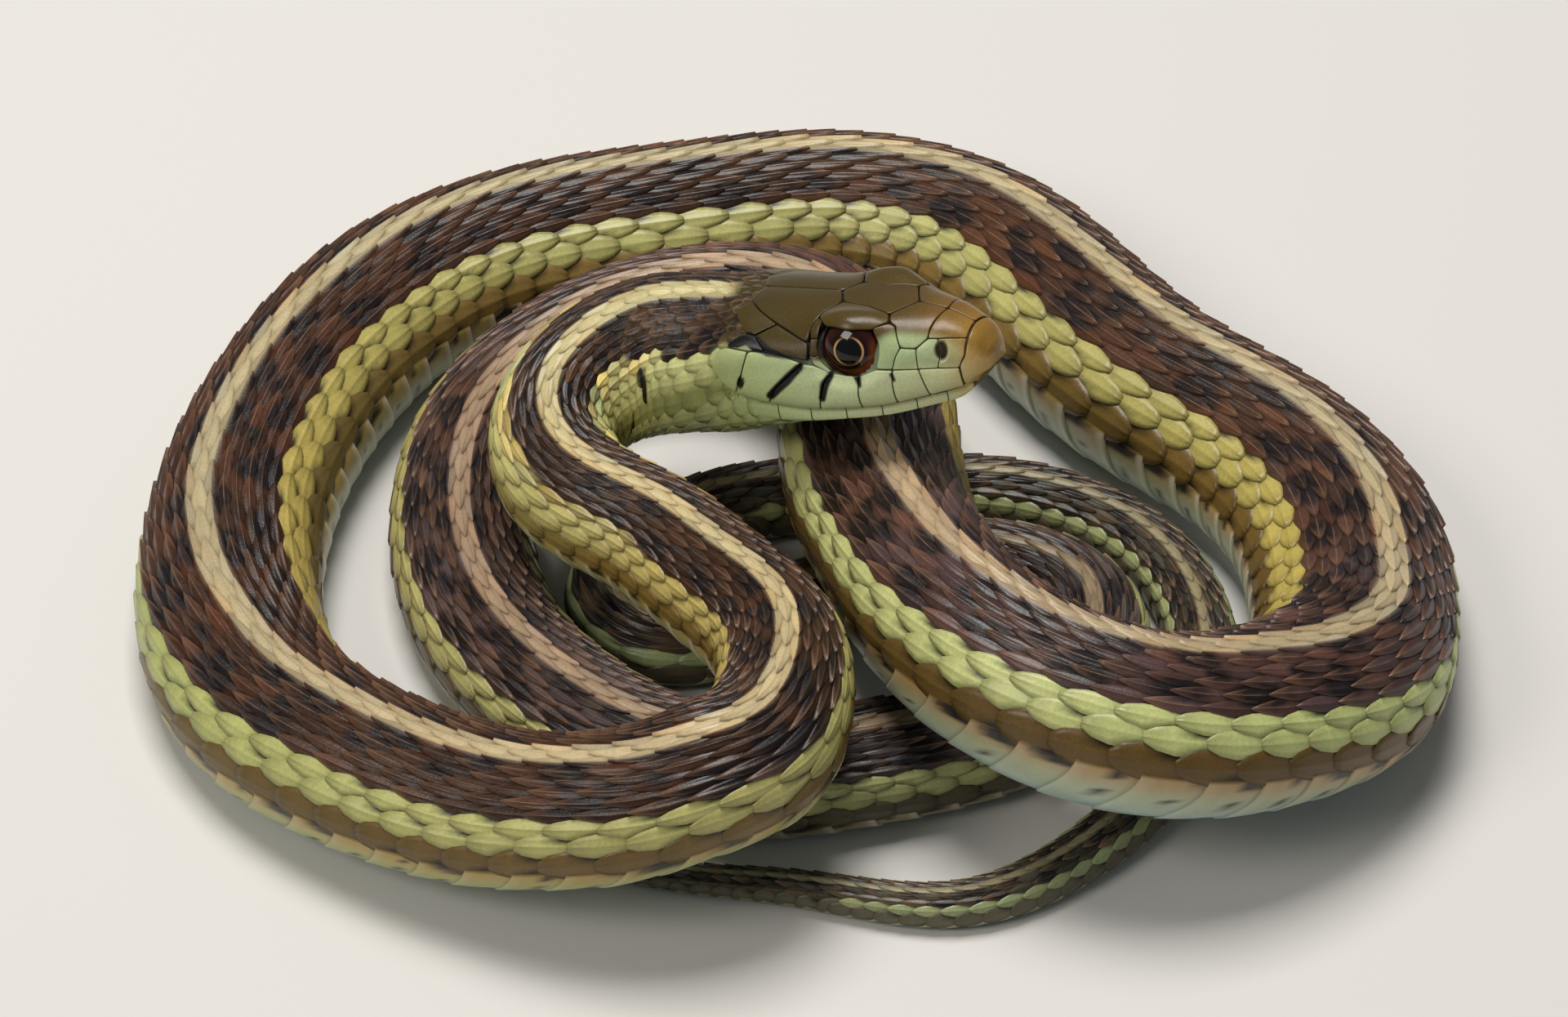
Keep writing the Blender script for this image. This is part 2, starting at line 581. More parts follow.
@dataclass
class Markings:
    """Stripes, blotches and spots, by formula from the place on the animal.

    The keys of the body's colours are distances from the nape, and those of the head's from the snout.
    """

    form: SnakeForm
    rows: ScaleRows
    seed: int = 11
    blotch_lines: tuple[SpotLine, ...] = (
        SpotLine(0, 2.0, 0.3, 1.9, (0.62, 1.05), 0.86),
        SpotLine(1, 2.0, 1.3, 5.0, (0.66, 1.1), 0.84),
        SpotLine(2, 1.0, 0.0, 3.4, (0.34, 0.8), 0.5),
    )
    tick_lines: tuple[SpotLine, ...] = (
        SpotLine(3, 1.0, 0.8, 7.5, (0.16, 0.3), 0.8),
        SpotLine(4, 1.0, 0.3, 6.5, (0.22, 0.34), 0.85),
        SpotLine(6, 1.0, 0.3, 8.5, (0.2, 0.32), 0.8),
        SpotLine(7, 1.0, 0.8, 9.6, (0.26, 0.4), 0.7),
    )
    drift: tuple[float, float] = (0.2, 0.12)
    stripe_edge: float = 0.0262
    side_top: Keys = (
        (22, 0.152), (27, 0.136), (33, 0.114), (39, 0.12), (50, 0.148), (60, 0.159), (600, 0.159),
    )
    side_foot: float = 0.2305
    belly: float = 0.281
    black: str = "0F0D12"
    neck_black: str = "0E0A0A"
    head_black: str = "0A0707"
    stripe: ColourKeys = (
        (-4, "B2A272"), (3, "C0B482"), (20, "BEAE80"), (60, "B8A680"), (90, "AC9C78"), (150, "B0A27C"),
        (230, "AC9C78"), (290, "AE9676"), (325, "A48C70"), (345, "9A826A"), (400, "968064"), (430, "8E7C60"),
        (480, "908464"), (575, "7C7458"),
    )
    flank: ColourKeys = (
        (-4, "3A2E1A"), (3, "382818"), (14, "362416"), (40, "3A2414"), (75, "3E2616"), (120, "442818"),
        (170, "462E1C"), (215, "4A3020"), (250, "4C3630"), (290, "503A34"), (325, "4C3630"), (350, "46342C"),
        (405, "463E3E"), (440, "443C34"), (480, "423E30"), (575, "444230"),
    )
    side_outer: ColourKeys = (
        (-4, "BAC284"), (6, "CCCA84"), (30, "C6BC74"), (60, "ACA868"), (110, "A0A866"), (160, "AEB070"),
        (190, "B4B272"), (230, "B4BE78"), (300, "BCBA7C"), (345, "A89A58"), (400, "A8B27C"), (460, "94A06E"),
        (575, "8C9468"),
    )
    side_inner: ColourKeys = (
        (-4, "BAC284"), (30, "B8A660"), (70, "AE9450"), (110, "AC9A50"), (150, "A8A466"), (185, "ACA868"),
        (230, "B09E50"), (300, "A08A48"), (400, "A8A870"), (575, "8C9468"),
    )
    low_row: ColourKeys = (
        (-4, "A8B074"), (12, "9E9A5A"), (26, "8A7034"), (60, "6C562C"), (110, "62522A"), (150, "826A38"),
        (185, "7E6634"), (230, "664E22"), (300, "5C4826"), (400, "5C5440"), (575, "5C5844"),
    )
    belly_edge: ColourKeys = (
        (-4, "B9C08A"), (20, "B9A860"), (60, "A58C48"), (185, "B09462"), (300, "A88A5E"), (575, "84805E"),
    )
    belly_low: ColourKeys = (
        (-4, "BCC494"), (20, "BCC090"), (60, "A9AE76"), (185, "A9B092"), (300, "A4AC8C"), (575, "8E947C"),
    )
    belly_deep: ColourKeys = ((-4, "B8C4A0"), (185, "A6BCB4"), (300, "A2B4A8"), (575, "909C8C"))
    crown: ColourKeys = (
        (0, "8C6A2A"), (1.2, "8A682A"), (2.4, "745624"), (5, "543F16"), (8, "483812"), (11, "42340E"),
        (15, "403410"), (19, "3C300E"),
    )
    cheek: ColourKeys = (
        (0, "BC9450"), (1, "C0A064"), (1.6, "B4AE7A"), (3, "A6B284"), (6, "A6B884"), (10.2, "A6B684"),
        (20, "A4AC74"),
    )
    lip: ColourKeys = (
        (0, "C8A060"), (1.2, "D0BC80"), (2.6, "D0D4A0"), (7, "D2DCAA"), (11, "CAD8A4"), (15.5, "B8C88C"),
        (20, "B4BC7C"),
    )
    crown_rim: Keys = (
        (0, 0.2), (1.2, 0.15), (3, 0.128), (5.2, 0.128), (6.4, 0.15), (7.6, 0.2), (10.3, 0.196),
        (11.1, 0.193), (12.9, 0.187), (14.5, 0.176), (16.5, 0.166), (18.6, 0.161), (20.5, 0.15),
        (23, 0.15),
    )
    rim_softness: Keys = ((0, 0.05), (4, 0.02), (7.5, 0.014), (11, 0.006), (20, 0.006))
    bars: Keys = (
        (9.6, 0.224, 10.15, 0.247, 0.2, 0.28), (10.15, 0.247, 10.5, 0.277, 0.28, 0.22),
        (11.75, 0.206, 12.85, 0.232, 0.26, 0.34), (12.85, 0.232, 14.6, 0.268, 0.34, 0.3),
        (17.15, 0.233, 17.35, 0.24, 0.36, 0.32), (7.85, 0.228, 7.75, 0.252, 0.26, 0.1),
        (5.6, 0.232, 5.5, 0.248, 0.1, 0.08), (11.25, 0.194, 12.9, 0.187, 0.08, 0.12),
        (12.9, 0.187, 14.5, 0.176, 0.12, 0.3), (14.5, 0.174, 15.6, 0.162, 0.3, 0.52),
        (15.6, 0.162, 16.4, 0.15, 0.5, 0.45), (16.4, 0.152, 17.5, 0.158, 0.36, 0.36),
        (17.5, 0.158, 18.6, 0.162, 0.34, 0.16), (11.05, 0.16, 11.2, 0.19, 0.1, 0.12),
        (20.7, 0.126, 21.7, 0.13, 0.45, 0.5), (21.7, 0.13, 22.3, 0.145, 0.5, 0.5),
        (22.3, 0.145, 23.1, 0.16, 0.5, 0.4), (23.1, 0.16, 24.7, 0.15, 0.35, 0.35),
        (28.4, 0.172, 28, 0.188, 0.55, 0.4), (28, 0.2, 27.8, 0.208, 0.6, 0.5),
        (24.6, 0.277, 24.9, 0.279, 0.45, 0.4), (21.1, 0.325, 21.4, 0.328, 0.4, 0.3),
        (31.6, 0.262, 31.8, 0.265, 0.35, 0.35),
    )
    head_end: tuple[float, float] = (19.6, 21.4)
    chance: Array = field(init=False)

    def __post_init__(self) -> None:
        """Draws the chances that vary the spots, by line, number and side."""
        self.chance = np.random.default_rng(self.seed).random((SPOT_LINES, SPOTS, 2))

    def spots(self, lines: tuple[SpotLine, ...], g: Array, p: Array) -> Array:
        """Darkness of lines of spots: bells on a lattice, each with its own size, shift and odds.

        Args:
            lines: Lines of spots.
            g: Distances from the snout.
            p: Shares of the girth.

        Returns:
            Darkness of the darkest line, from 0 to about 1.
        """
        count, row, side = self.rows.count(g), self.rows.row(p), (p > 0).astype(int)
        found = []
        for line in lines:
            j = np.clip(np.rint((count - line.phase) / line.step).astype(int), 0, SPOTS - 1)
            shift = self.chance[line.number, j, side]
            size = self.chance[(line.number + 5) % SPOT_LINES, j, 1 - side]
            drift_along, drift_across = (share * line.step ** 2 for share in self.drift)
            along = count - line.phase - line.step * j - (shift - 0.5) * drift_along
            across = row - line.row - (size - 0.5) * drift_across
            shown = np.where((shift + size) % 1.0 < line.odds, 0.75 + 0.5 * size, 0.0)
            found.append(shown * np.exp(-(along / line.reach[0]) ** 2 - (across / line.reach[1]) ** 2))
        return np.maximum.reduce(found)

    def under(self, s: Array, p: Array) -> Array:
        """Colour of the belly, tan at its edges and pale green below.

        Args:
            s: Distances from the nape.
            p: Shares of the girth.

        Returns:
            Linear colours.
        """
        apart = np.abs(p)
        outer = mix(shades(self.belly_edge, s), shades(self.belly_low, s), ramp(apart, 0.285, 0.335))
        return mix(outer, shades(self.belly_deep, s), ramp(apart, 0.33, 0.385))

    def body(self, g: Array, p: Array, held: Array | None = None) -> Array:
        """Colour of neck, trunk and tail, before the shape of a single scale adds to it.

        The side that faces the middle of the coils has a more golden side stripe. Small marks lie
        at the corners of the side stripe's scales; a scale of the coat has its own instead.

        Args:
            g: Distances from the snout.
            p: Shares of the girth.
            held: Shares that decide the edges of the side stripe on a scale of the coat.

        Returns:
            Linear colours.
        """
        s, apart = g - NAPE, np.abs(p)
        edges = apart if held is None else np.abs(held)
        black = paint(self.black)
        blotched = ramp(self.spots(self.blotch_lines, g, p), 0.26, 0.5)
        colour = mix(shades(self.flank, s), black, 0.93 * blotched)
        colour = mix(colour, shades(self.stripe, s), ramp(apart - self.stripe_edge, 0.0012, -0.0012))
        side = np.where((p > 0)[..., None], shades(self.side_outer, s), shades(self.side_inner, s))
        colour = mix(colour, side, ramp(edges - profile(self.side_top)(g), -0.002, 0.001))
        colour = mix(colour, shades(self.low_row, s), ramp(edges - self.side_foot, -0.001, 0.002))
        colour = mix(colour, self.under(s, p), ramp(edges - self.belly, -0.001, 0.001))
        if held is not None:
            return colour
        return mix(colour, black, 0.95 * ramp(self.spots(self.tick_lines, g, p), 0.32, 0.6))

    def strokes(self, g: Array, p: Array) -> Array:
        """Darkness of the black bars, spots and streak on the sides of head and neck.

        Each is a line between two places, as wide as stated at each end, with a soft rim: it states
        distance and share of the girth of both places, then the half widths there.

        Args:
            g: Distances from the snout.
            p: Shares of the girth.

        Returns:
            Darkness from 0 to 1.
        """
        girth = self.form.girth(g)
        dark = np.zeros(np.shape(g))
        for g0, p0, g1, p1, wide0, wide1 in self.bars:
            run = np.array([g1 - g0, (p1 - p0) * float(self.form.girth(np.array((g0 + g1) / 2)))])
            away = np.stack([g - g0, (np.abs(p) - p0) * girth], -1)
            share = np.clip((away @ run) / (run @ run), 0, 1)
            apart = np.linalg.norm(away - share[..., None] * run, axis=-1)
            dark = np.maximum(dark, ramp(apart - wide0 - share * (wide1 - wide0), 0.1, -0.04))
        return dark

    def head(self, g: Array, p: Array) -> Array:
        """Colour of the head's plates: olive brown above, tan on the snout, pale green on the lips.

        Args:
            g: Distances from the snout.
            p: Shares of the girth.

        Returns:
            Linear colours.
        """
        apart = np.abs(p)
        below = (apart - profile(self.crown_rim)(g)) / profile(self.rim_softness)(g)
        colour = mix(shades(self.crown, g), shades(self.cheek, g), ramp(below, -1, 1))
        colour = mix(colour, shades(self.lip, g), ramp(apart, 0.2, 0.235))
        return mix(colour, paint(self.head_black), self.strokes(g, p))

    def everywhere(self, g: Array, p: Array, held: Array | None = None) -> Array:
        """Colour of the head in front of the neck and of the body behind it.

        Args:
            g: Distances from the snout.
            p: Shares of the girth.
            held: Shares that decide the edges of the markings on a scale of the coat.

        Returns:
            Linear colours.
        """
        dark = self.strokes(g, p if held is None else held)
        behind = mix(self.body(g, p, held), paint(self.neck_black), dark)
        return mix(self.head(g, p), behind, ramp(g, *self.head_end))


@dataclass(frozen=True)
class Finish:
    """A coat finish: the markings' colour with fine grain, over a clear horny gloss."""

    name: str
    roughness: float
    coat: float
    coat_roughness: float
    grain_size: float
    grain_depth: float
    bump: float
    specular: float = 0.5

    def material(self) -> bpy.types.Material:
        """Builds the material, or gives it back where it is built already.

        Returns:
            Material that reads the attribute called tint.
        """
        if self.name in bpy.data.materials:
            return bpy.data.materials[self.name]
        material = bpy.data.materials.new(self.name)
        material.use_nodes = True
        nodes, links = material.node_tree.nodes, material.node_tree.links
        shader = nodes["Principled BSDF"]
        shader.inputs["Coat Weight"].default_value = self.coat
        shader.inputs["Coat Roughness"].default_value = self.coat_roughness
        shader.inputs["Specular IOR Level"].default_value = self.specular
        tint = nodes.new("ShaderNodeAttribute")
        tint.attribute_name = "tint"
        place = nodes.new("ShaderNodeTexCoord")
        grain = nodes.new("ShaderNodeGroup")
        grain.node_tree = grain_group()
        grain.inputs["Size"].default_value = self.grain_size
        grain.inputs["Depth"].default_value = self.grain_depth
        grain.inputs["Roughness"].default_value = self.roughness
        links.new(place.outputs["Object"], grain.inputs["Place"])
        links.new(tint.outputs["Color"], grain.inputs["Tint"])
        links.new(grain.outputs["Colour"], shader.inputs["Base Color"])
        links.new(grain.outputs["Roughness"], shader.inputs["Roughness"])
        bump = nodes.new("ShaderNodeBump")
        bump.inputs["Strength"].default_value = self.bump
        bump.inputs["Distance"].default_value = 0.05 * MM
        links.new(grain.outputs["Height"], bump.inputs["Height"])
        links.new(bump.outputs["Normal"], shader.inputs["Normal"])
        return material


def grain_group() -> bpy.types.NodeTree:
    """Node group that flecks a colour with fine grain and gives the grain's height and roughness.

    Returns:
        Group with inputs Place, Tint, Size, Depth, Roughness and outputs Colour, Roughness, Height.
    """
    if "horn_grain" in bpy.data.node_groups:
        return bpy.data.node_groups["horn_grain"]
    group = bpy.data.node_groups.new("horn_grain", "ShaderNodeTree")
    for way, name, kind in (
        ("INPUT", "Place", "NodeSocketVector"), ("INPUT", "Tint", "NodeSocketColor"),
        ("INPUT", "Size", "NodeSocketFloat"), ("INPUT", "Depth", "NodeSocketFloat"),
        ("INPUT", "Roughness", "NodeSocketFloat"), ("OUTPUT", "Colour", "NodeSocketColor"),
        ("OUTPUT", "Roughness", "NodeSocketFloat"), ("OUTPUT", "Height", "NodeSocketFloat"),
    ):
        group.interface.new_socket(name, in_out=way, socket_type=kind)
    nodes, links = group.nodes, group.links
    given, out = nodes.new("NodeGroupInput"), nodes.new("NodeGroupOutput")
    noise = nodes.new("ShaderNodeTexNoise")
    noise.inputs["Detail"].default_value = 3.0
    noise.inputs["Roughness"].default_value = 0.6
    frequency = nodes.new("ShaderNodeMath")
    frequency.operation = "DIVIDE"
    frequency.inputs[0].default_value = 1.0
    links.new(given.outputs["Size"], frequency.inputs[1])
    links.new(frequency.outputs[0], noise.inputs["Scale"])
    links.new(given.outputs["Place"], noise.inputs["Vector"])
    centred = nodes.new("ShaderNodeMath")
    centred.operation = "SUBTRACT"
    centred.inputs[1].default_value = 0.5
    links.new(noise.outputs["Fac"], centred.inputs[0])
    scaled = nodes.new("ShaderNodeMath")
    scaled.operation = "MULTIPLY_ADD"
    scaled.inputs[2].default_value = 1.0
    links.new(centred.outputs[0], scaled.inputs[0])
    links.new(given.outputs["Depth"], scaled.inputs[1])
    flecked = nodes.new("ShaderNodeVectorMath")
    flecked.operation = "SCALE"
    links.new(given.outputs["Tint"], flecked.inputs[0])
    links.new(scaled.outputs[0], flecked.inputs["Scale"])
    links.new(flecked.outputs["Vector"], out.inputs["Colour"])
    rough = nodes.new("ShaderNodeMath")
    rough.operation = "MULTIPLY_ADD"
    rough.inputs[1].default_value = 0.3
    links.new(centred.outputs[0], rough.inputs[0])
    links.new(given.outputs["Roughness"], rough.inputs[2])
    links.new(rough.outputs[0], out.inputs["Roughness"])
    links.new(noise.outputs["Fac"], out.inputs["Height"])
    return group


SKIN_FINISH = Finish(
    "skin_between_scales", roughness=0.6, coat=0.0, coat_roughness=0.4, grain_size=0.3 * MM,
    grain_depth=0.5, bump=0.4,
)
SCALE_FINISH = Finish(
    "keeled_scales", roughness=0.34, coat=0.06, coat_roughness=0.2, grain_size=0.22 * MM,
    grain_depth=0.5, bump=0.4, specular=0.3,
)
PALE_FINISH = Finish(
    "smooth_scutes", roughness=0.36, coat=0.2, coat_roughness=0.25, grain_size=0.5 * MM,
    grain_depth=0.2, bump=0.15, specular=0.4,
)
PLATE_FINISH = Finish(
    "head_plates", roughness=0.34, coat=0.1, coat_roughness=0.2, grain_size=0.16 * MM,
    grain_depth=0.5, bump=0.2, specular=0.3,
)
EYE_FINISH = Finish(
    "eye_cover", roughness=0.08, coat=0.3, coat_roughness=0.03, grain_size=0.15 * MM,
    grain_depth=0.25, bump=0.0, specular=0.25,
)


@dataclass
class MeshParts:
    """Points, faces, colours and bake patches of a piece while it is put together."""

    points: list[Array] = field(default_factory=list)
    faces: list[Array] = field(default_factory=list)
    tints: list[Array] = field(default_factory=list)
    patches: list[Array] = field(default_factory=list)
    total: int = 0

    def add(self, points: Array, faces: list[Array], tints: Array, patches: Array) -> None:
        """Adds a part.

        Args:
            points: Places in millimetres.
            faces: Faces, whose numbers count from the part's own first point.
            tints: Linear colour of each point.
            patches: Place of each point on the bake map.
        """
        self.points.append(points.reshape(-1, 3))
        self.tints.append(tints.reshape(-1, 3))
        self.patches.append(patches.reshape(-1, 2))
        self.faces.extend(part + self.total for part in faces)
        self.total += len(self.points[-1])

    def piece(self, name: str, finish: Finish, slot: Slot, nodes: tuple[str, ...] = ()) -> None:
        """Makes the piece, rides it on the body and reports it.

        Args:
            name: Name of the piece.
            finish: Finish that dresses it.
            slot: The record's material slot.
            nodes: Nodes of the frame that it stands for.
        """
        mesh = bpy.data.meshes.new(name)
        points, tints = np.concatenate(self.points) * MM, np.concatenate(self.tints)
        corners = np.concatenate([part.ravel() for part in self.faces]).astype(np.int32)
        sizes = np.concatenate([np.full(len(part), part.shape[1]) for part in self.faces])
        starts = np.concatenate([[0], np.cumsum(sizes)[:-1]]).astype(np.int32)
        mesh.vertices.add(len(points))
        mesh.vertices.foreach_set("co", points.astype(np.float32).ravel())
        mesh.loops.add(len(corners))
        mesh.loops.foreach_set("vertex_index", corners)
        mesh.polygons.add(len(sizes))
        mesh.polygons.foreach_set("loop_start", starts)
        mesh.polygons.foreach_set("use_smooth", np.ones(len(sizes), bool))
        mesh.update(calc_edges=True)
        colour = mesh.color_attributes.new("tint", "FLOAT_COLOR", "POINT")
        shown = np.column_stack([tints, np.ones(len(tints))]).astype(np.float32)
        colour.data.foreach_set("color", shown.ravel())
        bake = mesh.uv_layers.new(name="OFBake")
        bake.uv.foreach_set("vector", np.concatenate(self.patches)[corners].astype(np.float32).ravel())
        mesh.materials.append(finish.material())
        piece = bpy.data.objects.new(name, mesh)
        bpy.context.scene.collection.objects.link(piece)
        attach(piece, BODY)
        if nodes:
            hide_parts(*nodes)
        log.info("%s: %d triangles", name, int((sizes - 2).sum()))


def grid_faces(rows: int, columns: int, first: Array) -> Array:
    """Quads of many like grids of points, whose points follow each other row by row.

    Args:
        rows: Points along a grid.
        columns: Points across it.
        first: Number of each grid's first point.

    Returns:
        Quads, four numbers each.
    """
    i, j = np.meshgrid(np.arange(rows - 1), np.arange(columns - 1), indexing="ij")
    corner = (i * columns + j).ravel()
    quad = np.stack([corner, corner + 1, corner + columns + 1, corner + columns], -1)
    return (first[:, None, None] + quad[None]).reshape(-1, 4)


def ring_faces(rings: int, around: int) -> list[Array]:
    """Faces of rings of points round a first point: a fan about it, then quads between the rings.

    Args:
        rings: Number of rings.
        around: Points on a ring.

    Returns:
        Triangles of the fan, and quads.
    """
    j = np.arange(around)
    after = (j + 1) % around
    start = (1 + around * np.arange(rings - 1))[:, None]
    quads = np.stack([start + j, start + j + around, start + after + around, start + after], -1)
    return [np.stack([0 * j, 1 + j, 1 + after], -1), quads.reshape(-1, 4)]


@dataclass
class Skin:
    """One closed skin under all scales and plates, from the snout to the tip of the tail."""

    form: SnakeForm
    markings: Markings
    around: int = 96
    first_ring: int = 2
    head_step: float = 0.3
    head_end: float = 26.0
    body_step: float = 1.0
    eye_hollow: float = 0.75
    hollow_edge: tuple[float, float] = (1.95, 1.6)
    kept_colour: float = 0.3
    kept_below: float = 0.12

    def build(self) -> None:
        """Carries the form's ring along the animal, hollowed behind each eye, and closes both ends."""
        table, tip = self.form.g, self.form.g[-1]
        g = np.concatenate([
            table[self.first_ring:self.form.cap_rings], np.arange(0, self.head_end, self.head_step),
            np.arange(self.head_end, tip - 0.4, self.body_step), [tip - 0.05],
        ])
        p = np.linspace(-0.5, 0.5, self.around + 1)[:-1]
        along, across = np.meshgrid(g, p, indexing="ij")
        hollow = self.eye_hollow * ramp(eye_distance(self.form, along, across), *self.hollow_edge)
        points = self.form.at(along, across, -hollow)
        tints = self.markings.everywhere(along, across) * self.kept(along, across)[..., None]
        quads = grid_faces(len(g), self.around, np.array([0])).reshape(len(g) - 1, self.around - 1, 4)
        start = np.arange(len(g) - 1) * self.around
        end = start + self.around - 1
        seam = np.stack([end, start, start + self.around, end + self.around], -1)
        last = (len(g) - 1) * self.around
        ends = [np.arange(self.around)[None], (last + np.arange(self.around)[::-1])[None]]
        unwrap = np.stack([(along - g[0]) / (g[-1] - g[0]), across + 0.5], -1)
        parts = MeshParts()
        faces = [quads.reshape(-1, 4)[:, ::-1], seam[:, ::-1], *ends]
        parts.add(points, faces, tints, unwrap * MAP_SHARE + MAP_EDGE)
        flesh = tuple(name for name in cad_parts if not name.startswith("eye_"))
        parts.piece("skin", SKIN_FINISH, Slot.BODY, flesh)

    def kept(self, g: Array, p: Array) -> Array:
        """How much of the coat's colour the skin between scales keeps."""
        return self.kept_colour + self.kept_below * ramp(np.abs(p), 0.2, 0.3) * ramp(g, 12, 20)


def eye_distance(form: SnakeForm, g: Array, p: Array) -> Array:
    """Distance over the skin from the middle of the nearer eye, millimetres."""
    return np.hypot(g - EYE_PLACE[0], (np.abs(p) - EYE_PLACE[1]) * form.girth(g))


@dataclass
class BodyScales:
    """Keeled scales of back and sides, each a small bowed leaf whose tip lies over the next.

    The rows of the throat state a share of the girth and end further forward the lower they lie.
    """

    form: SnakeForm
    rows: ScaleRows
    markings: Markings
    seed: int = 5
    greyish: tuple[float, float, float] = (0.82, 0.96, 1.22)
    reddish: tuple[float, float, float] = (1.22, 0.98, 0.8)
    pale: str = "9A7458"
    edge_brown: str = "3A2C12"
    mark_black: str = "0E0A08"
    mark_odds: float = 0.42
    steps_along: tuple[float, ...] = (0.0, 0.22, 0.38, 0.5, 0.66, 0.84, 0.96, 1.0)
    steps_across: tuple[float, ...] = (-1.0, -0.91, -0.48, -0.09, 0.0, 0.09, 0.48, 0.91, 1.0)
    root_ahead: float = 0.52
    overlap: float = 1.5
    breadth: float = 1.42
    lift_tip: float = 0.085
    bow: float = 0.42
    keel_height: float = 0.07
    keel_half_width: float = 0.09
    rim_height: float = -0.03
    root_height: float = 0.02
    full_spacing: float = 3.3
    throat_rows: tuple[float, ...] = (0.302, 0.342, 0.382, 0.422, 0.462)
    throat_pitch: float = 0.042
    throat_end: tuple[float, float] = (31.0, 2.25)
    plates_end: Keys = (
        (0, 16.9), (0.03, 17.1), (0.05, 17.4), (0.065, 17.6), (0.075, 18.2), (0.085, 18.4),
        (0.106, 17.7), (0.138, 16.6), (0.161, 18.3), (0.166, 19.4), (0.18, 20.2), (0.21, 19.8),
        (0.24, 18.7), (0.27, 17.8), (0.3, 15.4), (0.34, 14.4), (0.4, 12.9), (0.5, 12.9),
    )
    lengths: tuple[tuple[str, float, float, Slot], ...] = (
        ("scales_neck", 12, 82, Slot.BODY), ("scales_front", 82, 182, Slot.BODY),
        ("scales_middle", 182, 304, Slot.BODY), ("scales_rear", 304, 450, Slot.BODY),
        ("scales_tail", 450, 596, Slot.TAIL),
    )

    def lattice(self) -> tuple[Array, Array, Array, Array]:
        """Centre of every scale behind the head's plates.

        Returns:
            Distance from the snout, share of the girth, pitch and row of each scale.
        """
        found = []
        last_row = len(self.rows.centres) - 1
        first = math.ceil(self.rows.count(np.array(self.lengths[0][1])))
        last = math.floor(self.rows.counts[-1])
        start = 0.0
        for end, count in self.rows.zones:
            for k in range(-count, count + 1):
                row = abs(k) * last_row / count
                g = self.rows.place(np.arange(first, last) + 0.5 * (k % 2))
                g = g[(g >= start) & (g < end)]
                p = math.copysign(float(np.interp(row, range(last_row + 1), self.rows.centres)), k)
                pitch = float(np.interp(row, range(last_row + 1), self.rows.pitches)) * last_row / count
                found.append(np.stack(np.broadcast_arrays(g, p, pitch, row)))
            start = end
        for side in (-1, 1):
            for k, p in enumerate(self.throat_rows):
                g = self.rows.place(np.arange(first - 4, last) + 0.5 * (k % 2))
                g = g[g < self.throat_end[0] - self.throat_end[1] * k]
                row = last_row + 1.0 + k
                found.append(np.stack(np.broadcast_arrays(g, side * p, self.throat_pitch, row)))
        g, p, pitch, row = np.concatenate(found, 1)
        keep = g > np.interp(np.abs(p), *np.array(self.plates_end).T)
        return g[keep], p[keep], pitch[keep], row[keep]

    def outline(self, a: Array, blunt: Array) -> Array:
        """Half breadth along a scale: widest at two fifths, then closing to a tip.

        Args:
            a: Share of the way from root to tip.
            blunt: 0 for a lance-like tip, 1 for a blunt one.

        Returns:
            Shares of the greatest half breadth.
        """
        front = 0.62 + 0.38 * ramp(a, 0.0, 0.42)
        closing = np.clip((a - 0.4) / 0.6, 0, 1)
        tip = (1 - closing ** (1.9 + blunt)) ** (0.9 - 0.3 * blunt)
        return np.maximum(front * tip, 0.14)

    def build(self) -> None:
        """Makes all scales and parts them into lengths of the body.

        With a from root to tip and b from edge to edge, a scale's height grows with a, falls with the
        square of b, and has the keel's ridge along b = 0. Its rim goes down into the skin.
        """
        rng = np.random.default_rng(self.seed)
        centres = self.lattice()
        count = len(centres[0])
        chance = rng.random((count, 4))
        a = np.array(self.steps_along)[None, :, None]
        b = np.array(self.steps_across)[None, None, :]
        g0, p0, pitch, row = (v[:, None, None] for v in centres)
        spacing = profile(self.rows.spacing)(g0)
        low = ramp(row, 6.2, 7.4)
        blunt = np.maximum(low, ramp(g0, 40, 22))
        length = spacing * self.overlap * (1 + 0.05 * (chance[:, :1, None] - 0.5))
        half = pitch / 2 * (self.breadth + 0.1 * low) * self.outline(a, blunt)
        g = g0 + (a - self.root_ahead) * length
        p = p0 + b * half
        bowed = 1 - (self.bow - 0.32 * low) * b ** 2
        rise = self.lift_tip * length * (0.12 + 0.88 * a) * bowed * (1 - 0.3 * low)
        ridge = np.maximum(0, 1 - np.abs(b) / self.keel_half_width)
        size = spacing / self.full_spacing
        keel = self.keel_height * size * (1 - 0.45 * low) * ridge * ramp(a, 0.05, 0.35)
        rim = (np.abs(b) > 0.99) | (a > 0.99)
        height = np.where(rim, self.rim_height, rise + keel)
        height = np.where((a < 0.01) & ~rim, self.root_height, height)
        points = self.form.at(g, p, height)
        tints = self.colours(g, p, a, b, row, chance)
        for name, start, end, slot in self.lengths:
            mine = ((g0 >= start) & (g0 < end))[:, 0, 0]
            along = (g0[mine] - start) / (end - start) * MAP_SHARE + MAP_EDGE + (a - 0.5) * PATCH + 0 * b
            across = (p0[mine] + 0.5) * MAP_SHARE + MAP_EDGE + b * PATCH / 2 + 0 * a
            first = np.arange(int(mine.sum())) * a.size * b.size
            parts = MeshParts()
            faces = [grid_faces(a.size, b.size, first)]
            parts.add(points[mine], faces, tints[mine], np.stack([along, across], -1))
            parts.piece(name, SCALE_FINISH, slot)
        log.info("%d scales", count)

